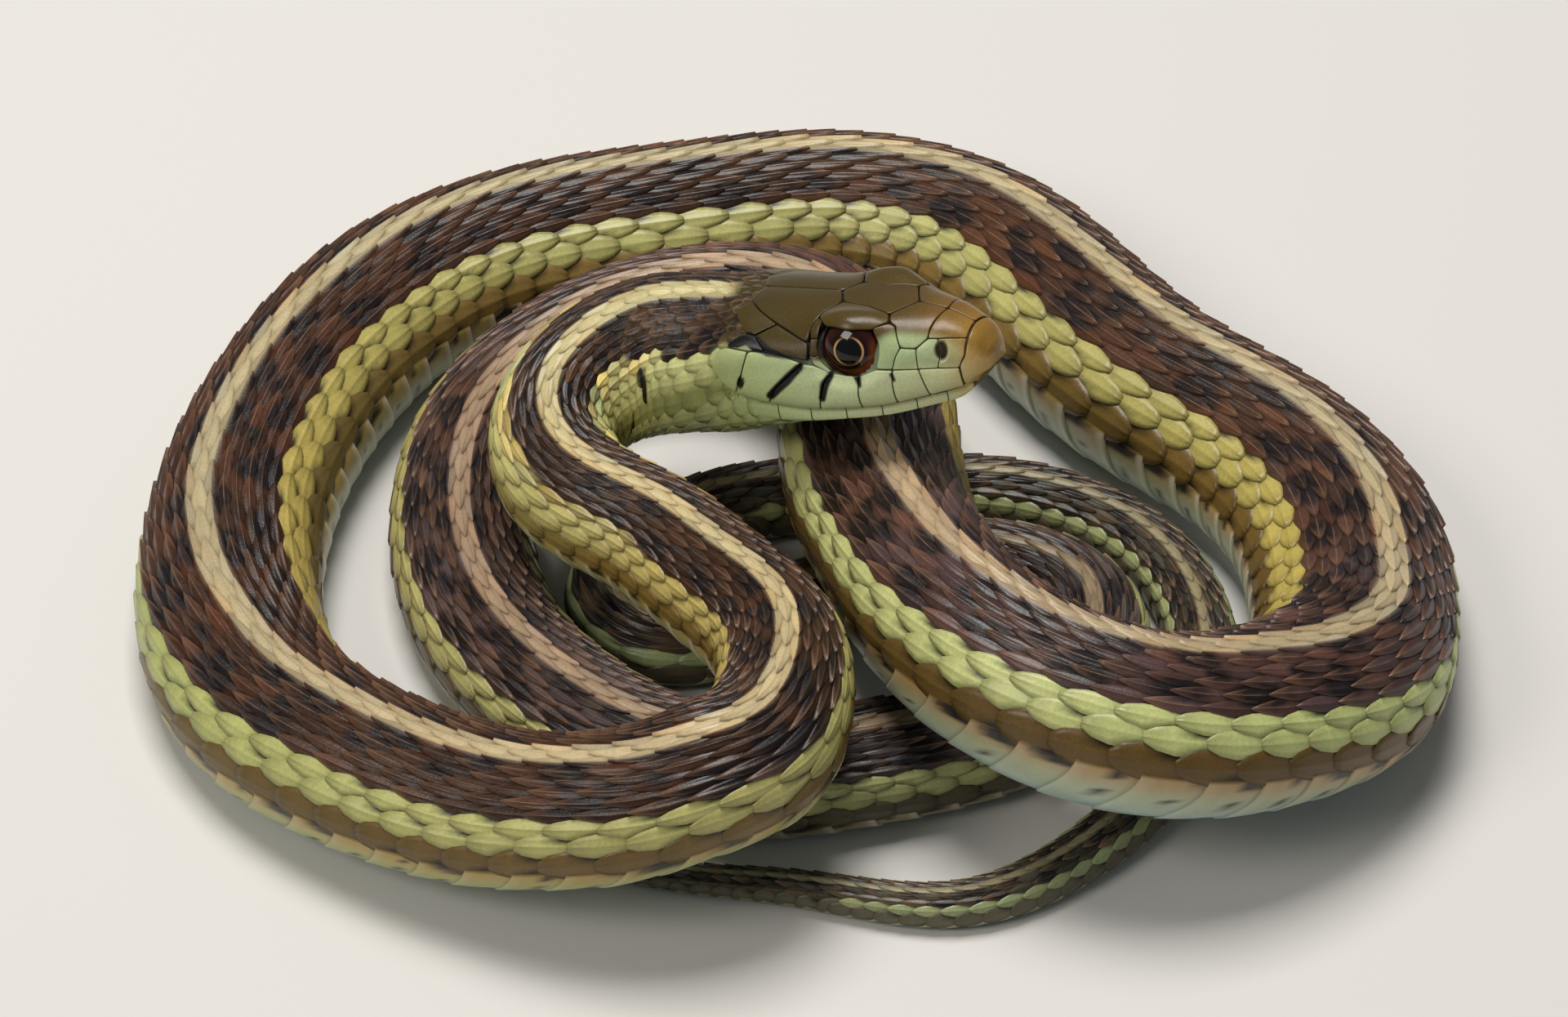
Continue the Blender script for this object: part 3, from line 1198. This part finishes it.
    def colours(self, g: Array, p: Array, a: Array, b: Array, row: Array, chance: Array) -> Array:
        """Colour of each scale's points: the markings, its own shade, keel line, pale tip and dark root.

        Args:
            g: Distances from the snout.
            p: Shares of the girth.
            a: Share of the way from root to tip.
            b: Share of the way from keel to edge.
            row: Row of each scale.
            chance: Four random numbers for each scale.

        Returns:
            Linear colours of all points.
        """
        middle = p[:, :, b.size // 2:b.size // 2 + 1]
        held = np.where(row < 1.5, p, 0.2 * p + 0.8 * middle)
        colour = self.markings.everywhere(g + 0 * b, p + 0 * a, held)
        brightness, redness, wear, paleness = (chance[:, i, None, None] for i in range(4))
        flank = ramp(row, 0.9, 1.1) * ramp(row, 6.9, 6.4) + 0 * a + 0 * b
        side = ramp(row, 6.6, 7.0)
        shade = mix(np.array(self.greyish), np.array(self.reddish), redness + 0 * a + 0 * b)
        shade = shade * (0.5 + 0.7 * brightness ** 1.5)[..., None]
        colour = colour * mix(np.ones(3), shade, flank)
        colour = colour * (1 - 0.16 * (wear - 0.5) * (1 - flank))[..., None]
        pale = paint(self.pale)
        keel = np.maximum(0, 1 - np.abs(b) / 0.1) * ramp(a, 0.3, 0.5)
        colour = mix(colour, pale, 0.45 * keel * flank * (0.3 + paleness))
        edge = np.maximum(ramp(a, 0.76, 0.92), ramp(np.abs(b), 0.5, 0.8) * ramp(a, 0.45, 0.8))
        colour = mix(colour, pale, 0.34 * edge * flank * (0.2 + paleness))
        colour = mix(colour, paint(self.edge_brown), 0.42 * edge * side)
        rim = ((np.abs(b) > 0.99) | (a > 0.99)) + 0.0
        colour = colour * (1 - (0.8 - 0.1 * side) * rim)[..., None]
        root = ramp(a, 0.44, 0.08) * (0.85 - 0.3 * side) * (1 - 0.5 * ramp(row, 0.6, 0.2))
        marked = np.where(b > 0, paleness, wear) < self.mark_odds
        corner = ramp(a, 0.56, 0.44) * ramp(np.abs(b), 0.3, 0.5) * marked * side * ramp(g, 42, 60)
        colour = mix(colour, paint(self.mark_black), 0.93 * corner)
        return colour * (1 - root + 0 * b)[..., None]


@dataclass
class BellyScutes:
    """Broad plates across the belly, paired under the tail, one to each step of the scales.

    Each line of spots states the number of its chances, its share of the girth and its odds.
    """

    form: SnakeForm
    rows: ScaleRows
    markings: Markings
    edge: float = 0.272
    begin: float = 25.8
    vent: float = 452.0
    steps_along: tuple[float, ...] = (0.0, 0.2, 0.35, 0.5, 0.65, 0.8, 0.88, 0.93, 0.97, 1.0)
    steps_across: tuple[float, ...] = (
        0, 0.012, 0.03, 0.05, 0.07, 0.09, 0.11, 0.13, 0.155, 0.19, 0.24, 0.31, 0.4, 0.5,
    )
    overlap: float = 1.4
    tip_height: float = 0.24
    rim_height: float = -0.02
    full_spacing: float = 3.3
    lean: tuple[float, float] = (0.75, 0.5)
    spot_lines: Keys = ((8, 0.336, 0.85), (9, 0.292, 0.75))
    spot_black: str = "0E0C0B"
    rim_pale: str = "D6D6C4"
    paleness: tuple[float, float] = (0.6, 0.12)

    def sweep(self, p: Array) -> Array:
        """How far a scute leans to the rear between its end and the belly, in steps of the scales."""
        full = np.where(p < 0.5, *self.lean)
        return full * ramp(np.minimum(p, 1 - p), self.edge, 0.42)

    def strip(self, parts: MeshParts, numbers: Array, across: Array) -> None:
        """Adds scutes: each a strip across the belly, risen from root to rear, its rims turned down.

        Args:
            parts: Where the scutes go.
            numbers: Count of scales at each scute's middle.
            across: Shares of the girth of the points across a scute, from 0 to 1.
        """
        a = np.array(self.steps_along)[None, :, None]
        n, p = numbers[:, None, None], across[None, None, :]
        g = self.rows.place(n + (a - 0.5) * self.overlap + self.sweep(p))
        size = np.minimum(profile(self.rows.spacing)(g) / self.full_spacing, 1)
        side_rim = (p <= across.min() + 1e-9) | (p >= across.max() - 1e-9)
        height = self.tip_height * size * (0.1 + 0.9 * a)
        height = np.where((a > 0.99) | side_rim, self.rim_height, height)
        points = self.form.at(g, p, height)
        tints = self.colours(n, a, np.where(p > 0.5, p - 1, p) + 0 * g)
        u = (self.rows.place(n) - NAPE) / BODY_LENGTH * MAP_SHARE + MAP_EDGE + (a - 0.5) * PATCH + 0 * p
        v = p * MAP_SHARE + MAP_EDGE + 0 * a + 0 * n
        first = np.arange(len(numbers)) * a.size * p.size
        parts.add(points, [grid_faces(a.size, p.size, first)], tints, np.stack([u, v], -1))

    def colours(self, n: Array, a: Array, p: Array) -> Array:
        """Colour of the scutes: the belly's, with round spots, a pale rim and a dark root.

        Args:
            n: Count of scales at each scute's middle.
            a: Share of the way from root to rear.
            p: Signed shares of the girth of all points.

        Returns:
            Linear colours of all points.
        """
        apart = np.abs(p)
        tints = self.markings.body(self.rows.place(n + (a - 0.5) * 0.3 + 0 * p), p)
        number = np.broadcast_to(n.astype(int) % SPOTS, p.shape)
        for which, spot_p, odds in self.spot_lines:
            odd = self.markings.chance[which, number, (p > 0).astype(int)]
            away = np.hypot((a - 0.5) * 5.2, (apart - spot_p - (odd - 0.5) * 0.012) * 62)
            tints = mix(tints, paint(self.spot_black), 0.95 * ramp(away, 0.62, 0.4) * (odd < odds))
        pale = np.where(p < 0, *self.paleness) * (apart > 0.28)
        tints = mix(tints, paint(self.rim_pale), pale * ramp(a, 0.84, 0.9) * ramp(a, 0.99, 0.955))
        dark = (1 - 0.6 * ramp(a, 0.97, 1.0)) * (1 - 0.6 * ramp(a, 0.38, 0.05))
        return tints * (dark + 0 * p)[..., None]

    def build(self) -> None:
        """Makes the scutes from the throat to the tip of the tail."""
        first = math.ceil(self.rows.count(np.array(self.begin)))
        vent = math.floor(self.rows.count(np.array(self.vent)))
        last = math.floor(self.rows.counts[-1]) - 1
        ease = np.array(self.steps_across)
        share = np.concatenate([ease, 1 - ease[-2::-1]])
        half = share * (0.5 - self.edge) + self.edge
        parts = MeshParts()
        self.strip(parts, np.arange(first, vent).astype(float), share * (1 - 2 * self.edge) + self.edge)
        self.strip(parts, np.arange(vent, last) + 0.0, half)
        self.strip(parts, np.arange(vent, last) + 0.5, 1 - half[::-1])
        parts.piece("belly_scutes", PALE_FINISH, Slot.BODY)


@dataclass
class HeadPlates:
    """Large smooth plates of the head, each a low dome with a sunk seam around it."""

    form: SnakeForm
    markings: Markings
    seed: int = 3
    outline_points: int = 72
    rings: tuple[float, ...] = (0.12, 0.24, 0.36, 0.47, 0.57, 0.66, 0.74, 0.81, 0.87, 0.92, 0.96, 0.985, 1.0)
    seam: float = 0.012
    height: float = 0.22
    nostril: tuple[float, float, float, float] = (2.4, 0.172, 0.42, 0.72)
    frontal: Corners = ((10.8, 0), (9.98, 0.046), (8.15, 0.051), (6.2, 0.076), (5, 0))
    supraocular: Corners = (
        (9.98, 0.046), (8.15, 0.051), (6.2, 0.076), (5.9, 0.104), (6.8, 0.128), (8.35, 0.137),
        (10.05, 0.128), (10.78, 0.108), (10.75, 0.091),
    )
    parietal: Corners = (
        (10.8, 0), (9.98, 0.046), (10.75, 0.091), (10.82, 0.106), (11.13, 0.132), (11.2, 0.161),
        (12.8, 0.136), (14.95, 0.107), (16.35, 0.084), (18.05, 0.045), (17.5, 0),
    )
    prefrontal: Corners = (
        (6.2, 0.076), (5, 0), (2.95, 0), (3.25, 0.111), (3.25, 0.138), (3.95, 0.17), (4.95, 0.167),
        (5.5, 0.109), (5.9, 0.104),
    )
    internasal: Corners = ((2.95, 0), (3.25, 0.111), (3.25, 0.138), (2.65, 0.134), (0.95, 0.11), (1.05, 0))
    nasal_front: Corners = (
        (2.65, 0.134), (0.95, 0.11), (1.05, 0.188), (1.45, 0.235), (2.7, 0.231), (2.37, 0.172),
    )
    nasal_rear: Corners = (
        (3.25, 0.138), (2.65, 0.134), (2.37, 0.172), (2.7, 0.231), (3.9, 0.228), (3.95, 0.17),
    )
    loreal: Corners = ((4.95, 0.167), (3.95, 0.17), (3.9, 0.228), (5.5, 0.221), (5.25, 0.189))
    preocular: Corners = (
        (6.8, 0.125), (5.9, 0.104), (5.5, 0.109), (4.95, 0.167), (5.25, 0.189), (5.5, 0.221), (6.5, 0.216),
        (6.3, 0.184), (6.3, 0.156),
    )
    postocular_top: Corners = (
        (10.78, 0.108), (10.35, 0.118), (10.45, 0.134), (10.5, 0.15), (11, 0.151), (11.13, 0.132),
    )
    postocular_mid: Corners = (
        (11, 0.151), (10.5, 0.15), (10.55, 0.167), (10.45, 0.182), (10.75, 0.187), (11.1, 0.184),
        (11.2, 0.161),
    )
    postocular_low: Corners = (
        (10.45, 0.182), (10.2, 0.2), (9.5, 0.22), (9.6, 0.223), (10.7, 0.204), (11.1, 0.184),
        (10.75, 0.187),
    )
    temporal_front: Corners = (
        (15.9, 0.147), (14.1, 0.12), (11.2, 0.161), (11.1, 0.184), (11.15, 0.195), (13, 0.185),
        (14.75, 0.175),
    )
    temporal_top: Corners = (
        (19, 0.08), (17.75, 0.056), (16.35, 0.084), (14.1, 0.12), (15.9, 0.144), (17, 0.137), (18.3, 0.106),
    )
    temporal_low: Corners = (
        (17, 0.138), (15.9, 0.147), (14.75, 0.175), (16.35, 0.175), (18.6, 0.166), (18.85, 0.161),
    )
    lip_1: Corners = ((1.45, 0.235), (3.9, 0.228), (3.65, 0.285), (3.55, LIP), (1.4, LIP))
    lip_2: Corners = ((3.9, 0.228), (5.5, 0.222), (5.65, 0.261), (5.65, LIP), (3.55, LIP), (3.65, 0.285))
    lip_3: Corners = (
        (5.5, 0.222), (6.5, 0.217), (7.75, 0.231), (7.95, 0.272), (8, LIP), (5.65, LIP), (5.65, 0.261),
    )
    lip_4: Corners = (
        (7.75, 0.231), (8.6, 0.228), (9.5, 0.222), (10.1, 0.238), (10.6, 0.274), (10.95, LIP), (8, LIP),
        (7.95, 0.272),
    )
    lip_5: Corners = (
        (9.5, 0.222), (10.7, 0.205), (11.6, 0.2), (12.85, 0.228), (14.15, 0.255), (15.05, LIP),
        (10.95, LIP), (10.6, 0.274), (10.1, 0.238),
    )
    lip_6: Corners = (
        (11.6, 0.2), (13, 0.186), (14.75, 0.176), (16.35, 0.176), (16.65, 0.196), (17.15, 0.224),
        (18.2, LIP), (15.05, LIP), (14.15, 0.255), (12.85, 0.228),
    )
    lip_7: Corners = (
        (16.35, 0.176), (18.65, 0.167), (20.35, 0.162), (20.9, 0.18), (20.5, 0.203), (19.3, 0.236),
        (18.2, LIP), (17.15, 0.224), (16.65, 0.196),
    )
    lower_seams: tuple[float, ...] = (0.9, 2.6, 4.6, 6.9, 9.4, 12, 14.6, 17, 19)
    lower_band: float = 0.04
    lower_height: float = 0.1
    lip_extra: float = 0.03
    chin_shields: Keys = ((2.6, 7.4), (7.6, 13.4))
    chin_shares: tuple[float, float, float] = (0.42, 0.455, 0.492)
    chin_height: float = 0.12
    rostral_edge: Keys = (
        (0, 1.05), (0.11, 0.95), (0.188, 1.05), (0.235, 1.45), (0.31, 1.4), (0.34, 0.8), (0.38, 0.6),
        (0.5, 0.55),
    )
    rim_height: float = 0.02
    eye_rim: tuple[float, float] = (1.9, 2.9)
    brow: tuple[float, float, float] = (8.5, 0.12, 1.1)
    brow_reach: tuple[float, float] = (2.2, 1.3)
    own_shade: tuple[float, float] = (0.93, 0.14)
    nostril_dark: str = "1E0E08"

    def smooth_outline(self, corners: Array) -> Array:
        """Closed outline through corners, at equal steps.

        Each point becomes the mean of its neighbours and twice itself, and moves inward by the seam.

        Args:
            corners: Distance from the snout and share of the girth of each corner.

        Returns:
            Points of the outline, in the same terms.
        """
        girth = self.form.girth(corners[:, 0].mean())
        flat = corners * (1, girth)
        closed = np.concatenate([flat, flat[:1]])
        run = np.concatenate([[0], np.cumsum(np.linalg.norm(np.diff(closed, axis=0), axis=1))])
        at = np.linspace(0, run[-1], self.outline_points + 1)[:-1]
        line = np.stack([np.interp(at, run, closed[:, j]) for j in (0, 1)], -1)
        line = (np.roll(line, 1, 0) + 2 * line + np.roll(line, -1, 0)) / 4
        ahead = np.roll(line, -1, 0) - np.roll(line, 1, 0)
        ahead /= np.linalg.norm(ahead, axis=1)[:, None]
        area = (line[:, 0] * np.roll(line[:, 1], -1) - line[:, 1] * np.roll(line[:, 0], -1)).sum() / 2
        inward = np.stack([-ahead[:, 1], ahead[:, 0]], -1) * np.sign(area)
        line = line + inward * self.seam
        if area < 0:
            line = line[::-1]
        return line / (1, girth)

    def add_plate(self, parts: MeshParts, corners: Corners, side: int, high: float) -> None:
        """Adds one plate: rings of its outline, each shrunk towards its middle.

        Args:
            parts: Where the plate goes.
            corners: Distance from the snout and share of the girth of each corner.
            side: 1 for the right and -1 for the left.
            high: Height of the plate's middle over the skin.
        """
        outline = np.array(corners, float)
        outline[:, 1] = np.where(outline[:, 1] > 0.99, self.form.lip(outline[:, 0]), outline[:, 1])
        outline = (self.smooth_outline(outline) * (1, side))[::side]
        middle = outline.mean(0)
        rings = middle + np.array(self.rings)[:, None, None] * (outline - middle)
        self.add_surface(parts, middle, rings, high)

    def add_surface(self, parts: MeshParts, middle: Array, rings: Array, high: float) -> None:
        """Adds a plate's points, with their heights, colours and patches.

        The height falls with the cube of the share from middle to edge, is less beside the eye and in
        the nostril, and goes down to the skin at the rim. A bell around the brow's place adds the brow.

        Args:
            parts: Where the plate goes.
            middle: Distance from the snout and share of the girth of the middle.
            rings: The same for each point of each ring, the outermost last.
            high: Height of the plate's middle over the skin.
        """
        g, p = np.concatenate([middle[None], rings.reshape(-1, 2)]).T
        share = np.concatenate([[0], np.repeat(self.rings, rings.shape[1])])
        height = high * (1 - 0.22 * share ** 3)
        height = np.where(share > 0.98, high * 0.6, height)
        height = np.where(share > 0.99, self.rim_height, height)
        height = height * (0.4 + 0.6 * ramp(eye_distance(self.form, g, p), *self.eye_rim))
        at_g, at_p, bulge = self.brow
        away = (g - at_g) / self.brow_reach[0], (np.abs(p) - at_p) * self.form.girth(g) / self.brow_reach[1]
        brow = bulge * np.exp(-np.hypot(*away) ** 2)
        pit = self.pit(g, p)
        points = self.form.at(g, p, height * (1 - 0.8 * pit) + brow)
        rng = np.random.default_rng(self.seed + len(parts.points))
        tints = self.markings.head(g, p) * (self.own_shade[0] + self.own_shade[1] * rng.random())
        tints = tints * (1 - 0.72 * ramp(share, 0.955, 0.99))[:, None]
        tints = mix(tints, paint(self.nostril_dark), 0.98 * pit)
        patches = np.stack([0.02 + 0.9 * g / 24, 0.02 + 0.96 * (p + 0.5)], -1)
        parts.add(points, ring_faces(*rings.shape[:2]), tints, patches)

    def pit(self, g: Array, p: Array) -> Array:
        """Depth share of the nostril: a smooth step of the distance from an upright oval.

        Args:
            g: Distances from the snout.
            p: Shares of the girth.

        Returns:
            Shares from 0 to 1.
        """
        at_g, at_p, long, tall = self.nostril
        away = np.hypot((g - at_g) / long, (np.abs(p) - at_p) * self.form.girth(g) / tall)
        return ramp(away, 1.1, 0.75)

    def rostral(self, parts: MeshParts) -> None:
        """Adds the plate at the tip of the snout: rings of the form out to an edge that varies round it.

        Args:
            parts: Where the plate goes.
        """
        p = np.linspace(-0.5, 0.5, self.outline_points + 1)[:-1]
        edge = profile(self.rostral_edge)(np.abs(p))
        cap = -self.form.snout_cap
        g = cap + 0.02 + np.array(self.rings)[:, None] * (edge - cap - 0.07)
        rings = np.stack(np.broadcast_arrays(g, p), -1)
        self.add_surface(parts, np.array([cap, 0.0]), rings, self.height)

    def build(self) -> None:
        """Makes the plates of crown and cheeks, and those of both lips."""
        parts = MeshParts()
        mirrored = tuple((g, -p) for g, p in self.frontal[-2:0:-1])
        self.add_plate(parts, self.frontal + mirrored, 1, self.height)
        for corners in (
            self.supraocular, self.parietal, self.prefrontal, self.internasal, self.nasal_front,
            self.nasal_rear, self.loreal, self.preocular, self.postocular_top, self.postocular_mid,
            self.postocular_low, self.temporal_front, self.temporal_top, self.temporal_low,
        ):
            for side in (1, -1):
                self.add_plate(parts, corners, side, self.height)
        parts.piece("head_plates", PLATE_FINISH, Slot.HEAD)
        lips = MeshParts()
        self.rostral(lips)
        for corners in (self.lip_1, self.lip_2, self.lip_3, self.lip_4, self.lip_5, self.lip_6, self.lip_7):
            for side in (1, -1):
                self.add_plate(lips, corners, side, self.height + self.lip_extra)
        for start, end in zip(self.lower_seams[:-1], self.lower_seams[1:]):
            low = [(g, float(self.form.lip(np.array(g))) + 0.006) for g in (start, end)]
            band = tuple(low + [(g, p + self.lower_band) for g, p in low[::-1]])
            for side in (1, -1):
                self.add_plate(lips, band, side, self.lower_height)
        inner, point, outer = self.chin_shares
        for start, end in self.chin_shields:
            shield = ((start, inner), (end, inner), (end + 0.6, point), (end, outer), (start, outer))
            for side in (1, -1):
                self.add_plate(lips, shield, side, self.chin_height)
        lips.piece("lip_plates", PLATE_FINISH, Slot.JAW)


@dataclass
class Eye:
    """Round eye with a clear cover: a flattened ball whose colour runs from pupil to rim."""

    form: SnakeForm
    from_snout: float = EYE_PLACE[0]
    aside: float = 3.65
    below: float = 2.4
    long: float = 2.15
    tall: float = 2.1
    deep: float = 1.3
    tilt: float = 12.0
    ahead: float = 14.0
    pupil: float = 0.97
    ring: float = 0.05
    pupil_black: str = "050608"
    gold: str = "D8A868"
    iris_dark: str = "180603"
    iris_brown: str = "301006"
    iris_glow: str = "84400F"
    rim_black: str = "0A0302"
    back_black: str = "120504"
    rows: int = 60
    around: int = 72

    def build(self, side: int) -> None:
        """Makes the eye of one side: a ball stretched three ways, then tilted and turned ahead.

        Args:
            side: 1 for the right and -1 for the left.
        """
        turn = np.linspace(0, math.pi, self.rows + 1)[1:-1]
        round_ = np.linspace(0, 2 * math.pi, self.around + 1)[:-1]
        a, b = np.meshgrid(turn, round_, indexing="ij")
        tilt, ahead = math.radians(self.tilt), math.radians(self.ahead)
        across = np.concatenate([[1.0], np.cos(a).ravel(), [-1.0]]) * self.deep
        along = np.concatenate([[0], (np.sin(a) * np.cos(b)).ravel(), [0]]) * self.long
        upright = np.concatenate([[0], (np.sin(a) * np.sin(b)).ravel(), [0]]) * self.tall
        level = across * math.cos(tilt) - upright * math.sin(tilt)
        up = across * math.sin(tilt) + upright * math.cos(tilt)
        out = level * math.cos(ahead) - along * math.sin(ahead)
        forward = level * math.sin(ahead) + along * math.cos(ahead)
        points = self.form.head_place(self.from_snout - forward, side * (self.aside + out), up - self.below)
        outer = across > 0
        j = np.arange(self.around)
        last = 1 + (self.rows - 2) * self.around
        faces = ring_faces(self.rows - 1, self.around)
        faces.append(np.stack([0 * j + last + self.around, last + (j + 1) % self.around, last + j], -1))
        if side > 0:
            faces = [part[:, ::-1] for part in faces]
        spread = 0.5 + 0.24 * np.stack([along, upright], -1) / self.long
        spread[:, 0] += np.where(outer, -0.25, 0.25)
        parts = MeshParts()
        parts.add(points, faces, self.colours(along, upright, outer), spread)
        name = "right" if side > 0 else "left"
        parts.piece(f"{name}_eye", EYE_FINISH, Slot.EYE, (f"eye_{name}",))

    def colours(self, along: Array, upright: Array, outer: Array) -> Array:
        """Colour by the distance from the eye's middle: pupil, gold ring, iris and dark rim.

        Args:
            along: Distance ahead of the eye's middle.
            upright: Distance above it.
            outer: Whether a point lies on the outer half.

        Returns:
            Linear colours.
        """
        radius = np.hypot(along, upright)
        iris = mix(paint(self.iris_dark), paint(self.iris_brown), ramp(radius, 1.15, 1.6))
        glow = ramp(along * 0.75 - upright * 0.65, 0.5, 1.5)
        iris = mix(iris, paint(self.iris_glow), 0.6 * glow * ramp(radius, 1.2, 1.5) * ramp(radius, 2.0, 1.8))
        tints = mix(iris, paint(self.rim_black), ramp(radius, 1.75, 2.0))
        gold = ramp(np.abs(radius - self.pupil - self.ring / 2), self.ring * 0.95, self.ring * 0.45)
        tints = mix(tints, paint(self.gold), gold)
        tints = mix(tints, paint(self.pupil_black), ramp(radius, self.pupil, self.pupil - 0.05))
        return np.where(outer[:, None], tints, paint(self.back_black))


@dataclass
class Studio:
    """Pale floor, soft light and the camera at the picture's viewing angle."""

    look_at: tuple[float, float, float] = (-0.7, -3.2, 6.0)
    distance: float = 301.0
    elevation: float = 40.0
    lens: float = 100.0
    sensor: float = 36.0
    floor_size: float = 3.0

    def build(self) -> None:
        """Sets up floor, light and camera."""
        self.floor()
        self.light()
        self.camera()

    def floor(self) -> None:
        """Plain floor at height 0."""
        half = self.floor_size / 2
        mesh = bpy.data.meshes.new("floor")
        corners = [(-half, -half, 0), (half, -half, 0), (half, half, 0), (-half, half, 0)]
        mesh.from_pydata(corners, [], [(0, 1, 2, 3)])
        material = bpy.data.materials.new("floor")
        material.use_nodes = True
        shader = material.node_tree.nodes["Principled BSDF"]
        shader.inputs["Base Color"].default_value = (0.62, 0.6, 0.57, 1)
        shader.inputs["Roughness"].default_value = 0.9
        mesh.materials.append(material)
        floor = bpy.data.objects.new("floor", mesh)
        bpy.context.scene.collection.objects.link(floor)

    def light(self) -> None:
        """Even sky and two soft lamps, the main one high overhead and the other at the front left."""
        world = bpy.data.worlds.new("studio")
        world.use_nodes = True
        sky = world.node_tree.nodes["Background"]
        sky.inputs["Color"].default_value = (0.86, 0.92, 1.0, 1)
        sky.inputs["Strength"].default_value = 0.18
        bpy.context.scene.world = world
        for name, place, size, power, colour in (
            ("high_lamp", (-0.05, 0.14, 0.6), 0.3, 3.9, (1.0, 0.98, 0.95)),
            ("side_lamp", (-0.4, -0.3, 0.45), 0.25, 1.5, (1.0, 0.95, 0.88)),
        ):
            lamp = bpy.data.lights.new(name, "AREA")
            lamp.size = size
            lamp.energy = power
            lamp.color = colour
            holder = bpy.data.objects.new(name, lamp)
            holder.location = place
            holder.rotation_mode = "QUATERNION"
            holder.rotation_quaternion = (-Vector(place)).to_track_quat("-Z", "Y")
            bpy.context.scene.collection.objects.link(holder)
        bpy.context.scene.view_settings.view_transform = "Standard"

    def camera(self) -> None:
        """Camera straight in front, looking down on the coils."""
        data = bpy.data.cameras.new("camera")
        data.lens = self.lens
        data.sensor_width = self.sensor
        data.clip_start = 0.01
        data.clip_end = 10
        camera = bpy.data.objects.new("camera", data)
        angle = math.radians(self.elevation)
        back = Vector((0, -math.cos(angle), math.sin(angle)))
        camera.location = (Vector(self.look_at) + back * self.distance) * MM
        camera.rotation_mode = "QUATERNION"
        camera.rotation_quaternion = (-back).to_track_quat("-Z", "Y")
        bpy.context.scene.collection.objects.link(camera)
        bpy.context.scene.camera = camera


def main() -> None:
    """Builds the snake over the frame, then the studio."""
    logging.basicConfig(level=logging.INFO, format="%(name)s: %(message)s")
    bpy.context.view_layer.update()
    form = SnakeForm()
    rows = ScaleRows()
    markings = Markings(form, rows)
    Skin(form, markings).build()
    BodyScales(form, rows, markings).build()
    BellyScutes(form, rows, markings).build()
    HeadPlates(form, markings).build()
    for side in (1, -1):
        Eye(form).build(side)
    Studio().build()


if __name__ == "__main__":
    main()
